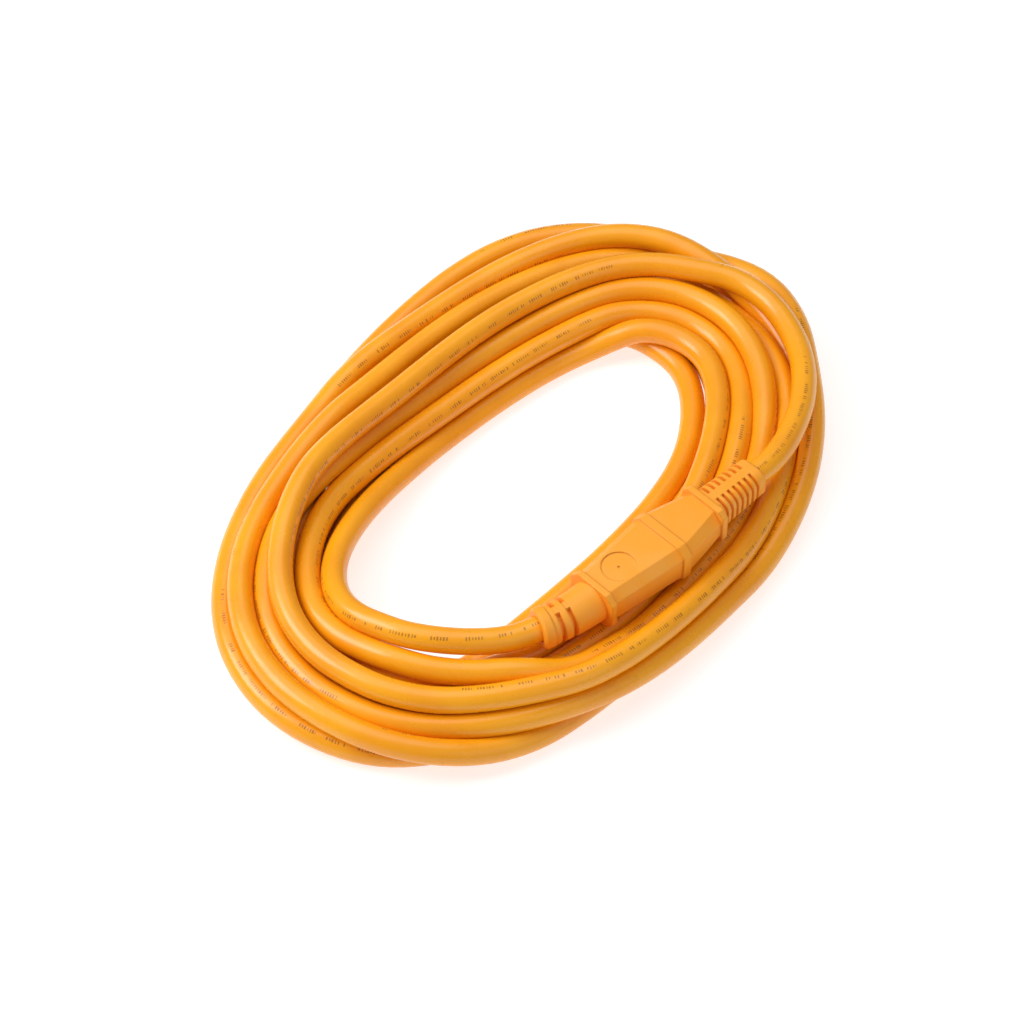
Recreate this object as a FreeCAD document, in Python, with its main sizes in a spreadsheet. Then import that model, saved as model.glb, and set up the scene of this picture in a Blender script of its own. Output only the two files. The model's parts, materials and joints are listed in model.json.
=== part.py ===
"""Outdoor shore power cord: plug and connector mated together and lying on their own coil.

Millimetres, +Z up, the floor at z = 0 and the origin under the middle of the coil.
The plug and the connector share a frame of their own: x runs along the blades towards
the plug, with x = 0 at the connector's mouth, y is across the blades and z is up.
"""
import FreeCAD, Part
import math
import os
import re
import Sketcher

Vector = FreeCAD.Vector

# driving dimensions: name, size in millimetres or degrees or a plain share, what it is
DIMENSIONS = [
    ("cord_dia", 9.6, "round jacket of the two core cord"),
    ("core_dia", 3.1, "insulated core"),
    ("conductor_dia", 1.5, "stranded copper of one core"),
    ("coil_length", 276, "coil over its outer turns, long way"),
    ("coil_width", 180, "coil over its outer turns, short way"),
    ("bundle_width", 49, "turns lying beside each other"),
    ("bundle_height", 33, "turns lying on each other"),
    ("bundle_round", 11, "rounding of the bundle's section"),
    ("coil_end_radius", 50, "middle line of the coil at its two ends"),
    ("pair_x", -4, "mouth of the connector in the coil's frame"),
    ("pair_y", -62.5, "mouth of the connector in the coil's frame"),
    ("pair_z", 26.5, "axis of plug and connector above the floor"),
    ("pair_turn", -12, "turn of the pair about the vertical, degrees"),
    ("plug_travel", 28, "how far the plug is drawn out along its axis"),
    ("room_gap", 0.5, "between the coil's solid and the pair"),
    ("fit_gap", 0.25, "plug nose in the connector's hood, each side"),
    ("seat_gap", 0.05, "moulded pieces in their pockets"),
    ("face_gap", 0.2, "plug face from the contact block when pushed home"),
    ("nose_width", 20.4, "plug nose inside the hood"),
    ("nose_height", 12, "plug nose inside the hood"),
    ("nose_corner", 2, "bevel of the nose's long edges"),
    ("hood_wall", 2.6, "connector hood round the nose"),
    ("hood_depth", 5, "mouth to the face of the contact block"),
    ("hood_corner", 3.4, "bevel of the hood's long edges"),
    ("band_length", 4, "raised band round the mouth"),
    ("band_rise", 0.7, "band above the body behind it"),
    ("grip_length", 31, "connector body from band to flange"),
    ("grip_rear_width", 18.6, "connector body in front of its flange"),
    ("grip_rear_height", 15, "connector body in front of its flange"),
    ("flange_width", 21, "rear flange of the connector"),
    ("flange_height", 17, "rear flange of the connector"),
    ("flange_thick", 2.6, "rear flanges"),
    ("mark_place", 24, "middle of that dish from the mouth"),
    ("mark_dia", 13, "shallow round dish on the connector's top"),
    ("mark_depth", 0.4, "depth of that dish"),
    ("sleeve_wall", 3.25, "connector boot where it leaves the flange"),
    ("sleeve_length", 9.5, "plain part of the connector boot"),
    ("neck_wall", 2.85, "connector boot at its slots"),
    ("neck_length", 9.5, "slotted part of the connector boot"),
    ("collar_wall", 2.95, "tail collar of the connector boot"),
    ("collar_length", 4, "tail collar of the connector boot"),
    ("slot_width", 1.6, "bending slots of the connector boot, along it"),
    ("slot_skin", 0.65, "wall left under the bending slots"),
    ("slot_pitch", 4.2, "bending slots, row to row"),
    ("slot_bridge", 3.2, "web left between slots of one row"),
    ("slot_start", 1.8, "neck in front of the first row of slots"),
    ("web_reach", 0.5, "webs past the slots that they bridge"),
    ("web_sink", 0.45, "webs below the neck's surface"),
    ("neck_taper", 0.4, "neck narrower at the collar, in radius"),
    ("collar_step", 0.3, "slope from neck to collar, along the boot"),
    ("collar_bevel", 0.8, "rear edge of the collar"),
    ("lead_straight", 12, "cord straight out of each boot"),
    ("root_wall", 1.15, "boot root held inside a body"),
    ("root_length", 4, "boot root held inside a body"),
    ("body_width", 24, "plug body at the connector"),
    ("body_height", 15.8, "plug body at the connector"),
    ("body_corner", 2.6, "bevel of the plug body's long edges"),
    ("waist_width", 18.8, "plug body in front of its flange"),
    ("waist_height", 13.8, "plug body in front of its flange"),
    ("waist_corner", 4, "bevel of the waist's long edges"),
    ("plug_body_length", 18.6, "plug body from its shoulder to its flange"),
    ("parting_gap", 0.3, "seam between mouth and plug shoulder"),
    ("back_width", 20.6, "rear flange of the plug"),
    ("back_height", 16, "rear flange of the plug"),
    ("plug_boot_length", 24, "ribbed boot of the plug"),
    ("plug_boot_width", 15.4, "ribbed boot at the flange"),
    ("plug_boot_height", 13.4, "ribbed boot at the flange"),
    ("tail_wall_side", 1.85, "ribbed boot at its tail, at the sides"),
    ("tail_wall_top", 1.45, "ribbed boot at its tail, top and bottom"),
    ("rib_count", 7, "grooves along the ribbed boot"),
    ("rib_pitch", 2.8, "groove to groove"),
    ("groove_width", 1.2, "one groove, along the boot"),
    ("groove_depth", 1.6, "one groove, from the outside"),
    ("rib_bridge", 3.6, "web left between the grooves of one row"),
    ("boot_round", 4.5, "rounding of the ribbed boot"),
    ("groove_round", 3.4, "rounding of the groove's bottom"),
    ("scoop_place", 0.45, "end of the scoops' steep part, share of the plug body"),
    ("scoop_keep", 0.6, "width kept at that place, share of what the scoops take"),
    ("blade_spacing", 12.7, "blade to blade"),
    ("blade_height", 6.3, "flat blade, up and down"),
    ("blade_thick", 1.5, "flat blade, across"),
    ("blade_length", 17.5, "blade in front of the plug's face"),
    ("blade_hole", 3, "hole near the blade's tip"),
    ("blade_hole_place", 11.7, "hole from the plug's face"),
    ("bridge_width", 17.2, "insulating block that holds the blades"),
    ("bridge_height", 8.4, "insulating block that holds the blades"),
    ("bridge_length", 11, "insulating block that holds the blades"),
    ("barrel_dia", 3, "crimp barrels of blades and contacts"),
    ("barrel_length", 3.5, "crimp barrels of blades and contacts"),
    ("block_width", 17.6, "contact block of the connector"),
    ("block_height", 10, "contact block of the connector"),
    ("block_length", 17.5, "contact block behind its lid"),
    ("lid_thick", 2.4, "lid of the contact block"),
    ("block_round", 1, "rounding of the insulating blocks and their seats"),
    ("slot_play", 0.35, "lid slots round the blade, each side"),
    ("cavity_width", 3.6, "contact chambers in the block"),
    ("cavity_height", 8, "contact chambers in the block"),
    ("leaf_thick", 0.6, "spring leaves of a contact"),
    ("leaf_height", 6.6, "spring leaves of a contact"),
    ("leaf_play", 0.06, "leaf to blade"),
    ("tip_gap", 1, "blade tip to the contact's web"),
    ("chamber_height", 7, "wire chambers behind block and bridge"),
    ("chamber_wall", 0.6, "wire chambers in from the block's sides"),
    ("gate_dia", 0.9, "sprue mark in the dish"),
    ("lip_cover", 1.2, "jacket's end inside the boot's root"),
    ("wire_straight", 2, "core straight behind its barrel"),
    ("wire_bend", 2, "middle line of a core's bends"),
]

# names for places and sizes that follow from the ones above
DERIVED = {
    "bore_dia": "cord_dia + 2 * seat_gap",
    "root_dia": "bore_dia + 2 * root_wall",
    "sleeve_dia": "bore_dia + 2 * sleeve_wall",
    "neck_dia": "bore_dia + 2 * neck_wall",
    "collar_dia": "bore_dia + 2 * collar_wall",
    "plug_tail_width": "bore_dia + 2 * tail_wall_side",
    "plug_tail_height": "bore_dia + 2 * tail_wall_top",
    "mouth_across": "nose_width + 2 * fit_gap + 2 * hood_wall",
    "mouth_up": "nose_height + 2 * fit_gap + 2 * hood_wall",
    "flange_front": "-(band_length + grip_length)",
    "flange_rear": "-(band_length + grip_length + flange_thick)",
    "connector_tail": "-(band_length + grip_length + flange_thick"
                      " + sleeve_length + neck_length + collar_length)",
    "block_front": "-(hood_depth + lid_thick)",
    "block_rear": "-(hood_depth + lid_thick + block_length)",
    "plug_face": "-(hood_depth - face_gap)",
    "blade_tip": "-(hood_depth - face_gap + blade_length)",
    "web_front": "-(hood_depth - face_gap + blade_length + tip_gap)",
    "web_rear": "-(hood_depth - face_gap + blade_length + tip_gap + leaf_thick)",
    "barrel_rear": "-(hood_depth - face_gap + blade_length + tip_gap + leaf_thick"
                   " + barrel_length)",
    "connector_root": "-(band_length + grip_length + flange_thick) + root_length",
    "connector_jacket": "-(band_length + grip_length + flange_thick) + root_length - lip_cover",
    "bridge_rear": "-(hood_depth - face_gap) + bridge_length",
    "barrel_end": "-(hood_depth - face_gap) + bridge_length + barrel_length",
    "back_front": "parting_gap + plug_body_length",
    "back_rear": "parting_gap + plug_body_length + flange_thick",
    "plug_tail": "parting_gap + plug_body_length + flange_thick + plug_boot_length",
    "plug_root": "parting_gap + plug_body_length + flange_thick - root_length",
    "plug_jacket": "parting_gap + plug_body_length + flange_thick - root_length + lip_cover",
    "core_place": "core_dia / 2",
    "blade_place": "blade_spacing / 2",
    "ring_a": "(coil_length - bundle_width) / 2",
    "ring_b": "(coil_width - bundle_width) / 2",
}
names = {name for name, _, _ in DIMENSIONS}

doc = FreeCAD.newDocument("shore_power_cord")
sheet = doc.addObject("Spreadsheet::Sheet", "dims")
for row, (name, size, note) in enumerate(DIMENSIONS, start=1):
    sheet.set(f"A{row}", name)
    sheet.set(f"B{row}", str(size))
    sheet.set(f"C{row}", note)
    sheet.setAlias(f"B{row}", name)
doc.recompute()


def formula(text):
    """Spell a formula out for the document: derived names in brackets, cells with dims."""
    def spell(found):
        word = found.group()
        if word in DERIVED:
            return f"({formula(DERIVED[word])})"
        return f"dims.{word}" if word in names else word
    return re.sub(r"[a-z_]+", spell, str(text))


def size_of(text):
    """The number a formula gives now."""
    return float(sheet.evalExpression(formula(text)))


def bind(thing, prop, text):
    thing.setExpression(prop, formula(text))


pieces = []


def new_body(label, in_pair=True):
    """A body with its own label; in_pair puts it in the frame of plug and connector."""
    body = doc.addObject("PartDesign::Body", label)
    body.Label = label
    if in_pair:
        place_in_pair(body)
    return body


def place_in_pair(thing):
    thing.Placement = FreeCAD.Placement(Vector(0, 0, 0), FreeCAD.Rotation(Vector(0, 0, 1), 1))
    bind(thing, "Placement.Base.x", "pair_x")
    bind(thing, "Placement.Base.y", "pair_y")
    bind(thing, "Placement.Base.z", "pair_z")
    bind(thing, "Placement.Rotation.Angle", "pair_turn")


def sketch_on(body, name, role, offset="0"):
    """A sketch on one of the body's own origin planes, moved along the plane's normal."""
    plane = next(item for item in body.Origin.OriginFeatures if item.Role == role)
    sketch = body.newObject("Sketcher::SketchObject", name)
    sketch.AttachmentSupport = (plane, [""])
    sketch.MapMode = "FlatFace"
    if offset != "0":
        bind(sketch, "AttachmentOffset.Base.z", offset)
    return sketch


def pin(sketch, geometry, end, across, up):
    """Hold one point of a sketch at two formulas."""
    for kind, axis, text in (("DistanceX", -2, across), ("DistanceY", -1, up)):
        if str(text) == "0":
            sketch.addConstraint(Sketcher.Constraint("PointOnObject", geometry, end, axis))
        else:
            rule = Sketcher.Constraint(kind, -1, 1, geometry, end, size_of(text))
            bind(sketch, f"Constraints[{sketch.addConstraint(rule)}]", text)


def outline(sketch, corners):
    """A closed outline of straight lines through pairs of formulas."""
    points = [Vector(size_of(across), size_of(up), 0) for across, up in corners]
    first = sketch.GeometryCount
    for here, there in zip(points, points[1:] + points[:1]):
        sketch.addGeometry(Part.LineSegment(here, there), False)
    for step, (across, up) in enumerate(corners):
        following = first + (step + 1) % len(corners)
        sketch.addConstraint(Sketcher.Constraint("Coincident", first + step, 2, following, 1))
        pin(sketch, first + step, 1, across, up)


def bevelled(sketch, width, height, corner):
    """A rectangle about the origin with its four corners cut off."""
    wide, tall = f"({width}) / 2", f"({height}) / 2"
    near_wide, near_tall = f"{wide} - ({corner})", f"{tall} - ({corner})"
    signs = [(1, 1), (-1, 1), (-1, -1), (1, -1)]
    corners = []
    for across, up in signs:
        pair = [(f"{across} * ({wide})", f"{up} * ({near_tall})"),
                (f"{across} * ({near_wide})", f"{up} * ({tall})")]
        corners += pair if across * up > 0 else pair[::-1]
    outline(sketch, corners)


def rounded(sketch, width, height, radius, up_middle="0"):
    """A rectangle with round corners, its middle above the origin by up_middle."""
    half_width, half_height = f"({width}) / 2", f"({height}) / 2"
    turn = math.radians(90)
    first = sketch.GeometryCount
    reach = size_of(radius)
    ends = []
    for index, (across, up) in enumerate([(1, 1), (-1, 1), (-1, -1), (1, -1)]):
        middle = (f"{across} * ({half_width} - ({radius}))",
                  f"({up_middle}) + {up} * ({half_height} - ({radius}))")
        centre = Vector(size_of(middle[0]), size_of(middle[1]), 0)
        circle = Part.Circle(centre, Vector(0, 0, 1), reach)
        sketch.addGeometry(Part.ArcOfCircle(circle, index * turn, (index + 1) * turn), False)
        ends.append(middle)
    for index in range(4):
        here, there = first + index, first + (index + 1) % 4
        start = sketch.getPoint(here, 2)
        stop = sketch.getPoint(there, 1)
        line = sketch.addGeometry(Part.LineSegment(start, stop), False)
        sketch.addConstraint(Sketcher.Constraint("Tangent", here, 2, line, 1))
        sketch.addConstraint(Sketcher.Constraint("Tangent", line, 2, there, 1))
    for index, (across, up) in enumerate(ends):
        pin(sketch, first + index, 3, across, up)
        rule = Sketcher.Constraint("Radius", first + index, reach)
        bind(sketch, f"Constraints[{sketch.addConstraint(rule)}]", radius)


def ring(sketch, across, up, diameter):
    """A circle at two formulas."""
    centre = Vector(size_of(across), size_of(up), 0)
    circle = Part.Circle(centre, Vector(0, 0, 1), size_of(diameter) / 2)
    index = sketch.addGeometry(circle, False)
    rule = Sketcher.Constraint("Diameter", index, size_of(diameter))
    bind(sketch, f"Constraints[{sketch.addConstraint(rule)}]", diameter)
    pin(sketch, index, 3, across, up)


def pad(body, sketch, length, backwards=False):
    feature = body.newObject("PartDesign::Pad", sketch.Name + "_pad")
    feature.Profile = sketch
    bind(feature, "Length", length)
    feature.Reversed = backwards
    doc.recompute()
    return feature


least_cut = 0.01  # cubic millimetres that a cut has to take away


def pocket(body, sketch, length, backwards=False):
    """Cut a sketch into the body, and make sure that it cut something."""
    before = body.Shape.Volume
    feature = body.newObject("PartDesign::Pocket", sketch.Name + "_cut")
    feature.Profile = sketch
    bind(feature, "Length", length)
    feature.Reversed = backwards
    doc.recompute()
    if body.Shape.Volume > before - least_cut:
        raise RuntimeError(f"{sketch.Name} cuts nothing from {body.Label}")
    return feature


def loft(body, sketches):
    feature = body.newObject("PartDesign::AdditiveLoft", sketches[0].Name + "_loft")
    feature.Profile = sketches[0]
    feature.Sections = sketches[1:]
    doc.recompute()
    return feature


def turned(body, name, corners):
    """A solid of revolution about the x axis from pairs of x and radius."""
    sketch = sketch_on(body, name, "XZ_Plane")
    outline(sketch, corners)
    feature = body.newObject("PartDesign::Revolution", name + "_turn")
    feature.Profile = sketch
    feature.ReferenceAxis = (sketch, ["H_Axis"])
    feature.Angle = 360
    doc.recompute()
    return feature


def repeat_along(body, feature, pitch, count):
    """Copies of a feature along the body's x axis."""
    pattern = body.newObject("PartDesign::LinearPattern", feature.Name + "_row")
    pattern.Originals = [feature]
    axis = next(item for item in body.Origin.OriginFeatures if item.Role == "X_Axis")
    pattern.Direction = (axis, [""])
    bind(pattern, "Length", f"({pitch}) * ({count} - 1)")
    bind(pattern, "Occurrences", count)
    body.Tip = pattern
    doc.recompute()
    return pattern


def keep(thing):
    pieces.append(thing)
    return thing


# ---- coil and its room for the pair ----

def make_coil():
    """The outer shape of the wound turns, an oval ring, less the room the pair lies in."""
    winding = new_body("coil_winding", in_pair=False)
    path = sketch_on(winding, "coil_line", "XY_Plane")
    radius = "coil_end_radius"
    side = (f"(((ring_a - {radius})^2 - (ring_b - {radius})^2)"
            f" / (2 * (ring_b - {radius})) + ring_b)")
    end_x, end_r = size_of(f"ring_a - {radius}"), size_of(radius)
    side_r = size_of(side)
    side_y = side_r - size_of("ring_b")
    lean = math.atan2(side_y, end_x)
    up = Vector(0, 0, 1)
    sides = [
        Part.ArcOfCircle(Part.Circle(Vector(end_x, 0, 0), up, end_r), -lean, lean),
        Part.ArcOfCircle(Part.Circle(Vector(0, -side_y, 0), up, side_r), lean, math.pi - lean),
        Part.ArcOfCircle(Part.Circle(Vector(-end_x, 0, 0), up, end_r),
                         math.pi - lean, math.pi + lean),
        Part.ArcOfCircle(Part.Circle(Vector(0, side_y, 0), up, side_r),
                         math.pi + lean, 2 * math.pi - lean),
    ]
    for arc in sides:
        path.addGeometry(arc, False)
    for index in range(4):
        path.addConstraint(Sketcher.Constraint("Tangent", index, 2, (index + 1) % 4, 1))
    for index, sign in ((0, 1), (2, -1)):
        pin(path, index, 3, f"{sign} * (ring_a - {radius})", "0")
        rule = Sketcher.Constraint("Radius", index, end_r)
        bind(path, f"Constraints[{path.addConstraint(rule)}]", radius)
    for index in (1, 3):
        rule = Sketcher.Constraint("Radius", index, side_r)
        bind(path, f"Constraints[{path.addConstraint(rule)}]", side)
    section = sketch_on(winding, "coil_section", "XZ_Plane")
    rounded(section, "bundle_width", "bundle_height", "bundle_round", "bundle_height / 2")
    bind(section, "AttachmentOffset.Base.x", "ring_a")
    doc.recompute()
    sweep = winding.newObject("PartDesign::AdditivePipe", "coil_sweep")
    sweep.Profile = section
    sweep.Spine = (path, [])
    doc.recompute()

    room = new_body("coil_room")
    floor = sketch_on(room, "room_floor", "XY_Plane", "-(mouth_up / 2 + room_gap)")
    half = "(mouth_across / 2 + room_gap)"
    outline(floor, [("connector_tail + collar_length", f"-{half}"),
                    ("plug_tail + plug_travel + room_gap", f"-{half}"),
                    ("plug_tail + plug_travel + room_gap", half),
                    ("connector_tail + collar_length", half)])
    pad(room, floor, "bundle_height")
    lead_room = sketch_on(room, "lead_room", "XY_Plane", "-(mouth_up / 2 + room_gap)")
    outline(lead_room, [("connector_tail", "-(collar_dia / 2 + room_gap)"),
                        ("connector_tail + 2 * collar_length", "-(collar_dia / 2 + room_gap)"),
                        ("connector_tail + 2 * collar_length", "collar_dia / 2 + room_gap"),
                        ("connector_tail", "collar_dia / 2 + room_gap")])
    pad(room, lead_room, "bundle_height")

    coil = doc.addObject("Part::Cut", "cord_coil")
    coil.Label = "cord_coil"
    coil.Base = winding
    coil.Tool = room
    doc.recompute()
    return coil


# ---- leads from the fittings to the coil ----

arc_share = 0.45  # of the shorter run, taken by the arc at each point of a lead


def tube_along(points, diameter, bend=None):
    """A round tube on straight runs joined by tangent arcs, with its line's length and radii.

    bend is the radius of every arc; without it each is as large as its two runs allow.
    """
    edges = []
    here = points[0]
    radii = []
    for before, corner, after in zip(points, points[1:], points[2:]):
        inward, outward = corner - before, after - corner
        half_turn = inward.getAngle(outward) / 2
        reach = arc_share * min(inward.Length, outward.Length)
        radius = bend or reach / math.tan(half_turn)
        if bend:
            reach = bend * math.tan(half_turn)
        start = corner - inward.normalize() * reach
        stop = corner + outward.normalize() * reach
        to_middle = (outward - inward).normalize()
        centre = corner + to_middle * (radius / math.cos(half_turn))
        middle = centre - to_middle * radius
        edges += [Part.LineSegment(here, start), Part.Arc(start, middle, stop)]
        radii.append(round(radius, 1))
        here = stop
    edges.append(Part.LineSegment(here, points[-1]))
    wire = Part.Wire([edge.toShape() for edge in edges])
    along = (points[1] - points[0]).normalize()
    section = Part.Wire(Part.makeCircle(diameter / 2, points[0], along))
    solid = wire.makePipeShell([section], True, False)
    return solid, wire.Length, radii


def lead_tube(label, points):
    """A free stretch of the cord."""
    diameter = size_of("cord_dia")
    solid, length, radii = tube_along(points, diameter)
    tube = doc.addObject("Part::Feature", label)
    tube.Label = label
    tube.Shape = solid
    share = solid.Volume / (math.pi * diameter ** 2 / 4 * length)
    print(f"{label}: line {length:.1f} mm, radii {radii},"
          f" volume over section times length {share:.4f}")
    return tube


def on_axis(along):
    """A point of the pair's axis in the coil's frame."""
    turn = math.radians(size_of("pair_turn"))
    reach = size_of(along)
    return Vector(size_of("pair_x") + reach * math.cos(turn),
                  size_of("pair_y") + reach * math.sin(turn), size_of("pair_z"))


def make_leads():
    """Both free stretches, each straight out of its boot and then into the coil."""
    connector = [on_axis("connector_tail"), on_axis("connector_tail - lead_straight"),
                 Vector(-87.4, -40.8, 27.5), Vector(-98.5, -29.3, 29), Vector(-106, -11, 29.5),
                 Vector(-106, 13, 28), Vector(-96, 35, 24)]
    plug = [on_axis("plug_tail"), on_axis("plug_tail + lead_straight"),
            Vector(68, -74, 27.5), Vector(87.5, -69, 29), Vector(108, -57, 29.5),
            Vector(124.5, -37.5, 28), Vector(132.5, -13, 24)]
    return [lead_tube("cord_lead_connector", connector), lead_tube("cord_lead_plug", plug)]


# ---- connector ----

def make_connector_shell():
    """Soft outer moulding: hood, finger grip and rear flange in one piece."""
    body = new_body("connector_shell")
    front = sketch_on(body, "grip_front", "YZ_Plane", "-band_length")
    bevelled(front, "mouth_across - 2 * band_rise", "mouth_up - 2 * band_rise", "hood_corner")
    rear = sketch_on(body, "grip_rear", "YZ_Plane", "flange_front")
    bevelled(rear, "grip_rear_width", "grip_rear_height", "hood_corner")
    loft(body, [front, rear])
    band = sketch_on(body, "band", "YZ_Plane", "-band_length")
    bevelled(band, "mouth_across", "mouth_up", "hood_corner")
    pad(body, band, "band_length")
    flange = sketch_on(body, "flange", "YZ_Plane", "flange_rear")
    bevelled(flange, "flange_width", "flange_height", "hood_corner")
    pad(body, flange, "flange_thick")

    hood = sketch_on(body, "hood", "YZ_Plane", "-hood_depth")
    bevelled(hood, "nose_width + 2 * fit_gap", "nose_height + 2 * fit_gap", "nose_corner")
    pocket(body, hood, "hood_depth", backwards=True)
    seat = sketch_on(body, "block_seat", "YZ_Plane", "block_rear")
    rounded(seat, "block_width + 2 * seat_gap", "block_height + 2 * seat_gap", "block_round")
    pocket(body, seat, "-hood_depth - block_rear", backwards=True)
    chamber = sketch_on(body, "wire_chamber", "YZ_Plane", "connector_root")
    rounded(chamber, "block_width - 2 * chamber_wall", "chamber_height", "block_round")
    pocket(body, chamber, "block_rear - connector_root", backwards=True)
    hole = sketch_on(body, "boot_hole", "YZ_Plane", "flange_rear")
    ring(hole, "0", "0", "root_dia + 2 * seat_gap")
    pocket(body, hole, "root_length", backwards=True)

    dish = sketch_on(body, "dish", "XY_Plane", "mouth_up / 2")
    ring(dish, "-mark_place", "0", "mark_dia")
    share = "((mark_place - band_length) / grip_length)"
    surface = f"((mouth_up / 2 - band_rise) * (1 - {share}) + grip_rear_height / 2 * {share})"
    pocket(body, dish, f"mouth_up / 2 - {surface} + mark_depth")
    gate = sketch_on(body, "gate", "XY_Plane", "mouth_up / 2")
    ring(gate, "-mark_place", "0", "gate_dia")
    pocket(body, gate, f"mouth_up / 2 - {surface} + 2 * mark_depth")
    return body


def make_connector_boot():
    """Strain relief turned about the cord, with two rows of bending slots and a tail collar."""
    body = new_body("connector_boot")
    neck = "flange_rear - sleeve_length"
    collar = "connector_tail + collar_length"
    turned(body, "boot_profile", [
        ("connector_root", "0"), ("connector_root", "root_dia / 2"),
        ("flange_rear", "root_dia / 2"), ("flange_rear", "sleeve_dia / 2"),
        (neck, "neck_dia / 2"), (collar, "neck_dia / 2 - neck_taper"),
        (f"{collar} - collar_step", "collar_dia / 2"),
        ("connector_tail + collar_bevel", "collar_dia / 2"),
        ("connector_tail", "collar_dia / 2 - collar_bevel"), ("connector_tail", "0")])
    floor = "bore_dia / 2 + slot_skin"
    for row in (0, 1):
        start = f"{neck} - slot_start - slot_width - {row} * slot_pitch"
        slot = sketch_on(body, f"slot_row_{row}", "YZ_Plane", start)
        ring(slot, "0", "0", "sleeve_dia + slot_width")
        ring(slot, "0", "0", f"2 * ({floor})")
        pocket(body, slot, "slot_width", backwards=True)
        for name, side in (("top", 1), ("under", -1)):
            web = sketch_on(body, f"web_{name}_{row}", "YZ_Plane", f"{start} - web_reach")
            low, high = f"{side} * ({floor} - web_reach)", f"{side} * (neck_dia / 2 - web_sink)"
            outline(web, [("slot_bridge / 2", low), ("slot_bridge / 2", high),
                          ("-slot_bridge / 2", high), ("-slot_bridge / 2", low)])
            pad(body, web, "slot_width + 2 * web_reach")
    hole = sketch_on(body, "cord_bore", "YZ_Plane", "connector_tail")
    ring(hole, "0", "0", "bore_dia")
    pocket(body, hole, "connector_root - connector_tail", backwards=True)
    return body


def make_contact_block():
    """Insulating block with a chamber for each contact, open at the front."""
    body = new_body("connector_contact_block")
    block = sketch_on(body, "block", "YZ_Plane", "block_rear")
    rounded(block, "block_width", "block_height", "block_round")
    pad(body, block, "block_length")
    chambers = sketch_on(body, "chambers", "YZ_Plane", "web_rear - seat_gap")
    holes = sketch_on(body, "wire_holes", "YZ_Plane", "block_rear")
    for side in (1, -1):
        near = f"{side} * (blade_place) - cavity_width / 2"
        far = f"{side} * (blade_place) + cavity_width / 2"
        outline(chambers, [(far, "cavity_height / 2"), (near, "cavity_height / 2"),
                           (near, "-cavity_height / 2"), (far, "-cavity_height / 2")])
        ring(holes, f"{side} * (blade_place)", "0", "barrel_dia + 2 * seat_gap")
    pocket(body, chambers, "block_front - web_rear + seat_gap", backwards=True)
    pocket(body, holes, "web_rear - block_rear", backwards=True)
    return body


def make_block_lid():
    """Front plate of the contact block with the two slots for the blades."""
    body = new_body("connector_block_lid")
    plate = sketch_on(body, "plate", "YZ_Plane", "block_front")
    rounded(plate, "block_width", "block_height", "block_round")
    pad(body, plate, "lid_thick")
    slots = sketch_on(body, "slots", "YZ_Plane", "block_front")
    tall = "(blade_height / 2 + slot_play)"
    for side in (1, -1):
        near = f"{side} * (blade_place) - blade_thick / 2 - slot_play"
        far = f"{side} * (blade_place) + blade_thick / 2 + slot_play"
        outline(slots, [(far, tall), (near, tall), (near, f"-{tall}"), (far, f"-{tall}")])
    pocket(body, slots, "lid_thick", backwards=True)
    return body


def add_barrel(body, side, start, length):
    """A crimp barrel behind a blade or a contact, open at its far end."""
    for name, size in (("barrel", "barrel_dia"), ("barrel_bore", "conductor_dia + 4 * seat_gap")):
        sketch = sketch_on(body, name, "YZ_Plane", start)
        ring(sketch, f"{side} * (blade_place)", "0", size)
        if name == "barrel":
            pad(body, sketch, length)
        else:
            pocket(body, sketch, length, backwards=True)


def make_contact(label, side):
    """Spring contact: two leaves that grip a blade, a web behind them and a crimp barrel."""
    body = new_body(label)
    sketch = sketch_on(body, "leaves", "XY_Plane", "-leaf_height / 2")
    inner, outer = "(blade_thick / 2 + leaf_play)", "(blade_thick / 2 + leaf_play + leaf_thick)"
    front, middle = "block_front - leaf_thick", f"{side} * (blade_place)"
    outline(sketch, [(front, f"{middle} + {inner}"), (front, f"{middle} + {outer}"),
                     ("web_rear", f"{middle} + {outer}"), ("web_rear", f"{middle} - {outer}"),
                     (front, f"{middle} - {outer}"), (front, f"{middle} - {inner}"),
                     ("web_front", f"{middle} - {inner}"), ("web_front", f"{middle} + {inner}")])
    pad(body, sketch, "leaf_height")
    add_barrel(body, side, "barrel_rear", "barrel_length")
    return body


# ---- plug ----

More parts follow.
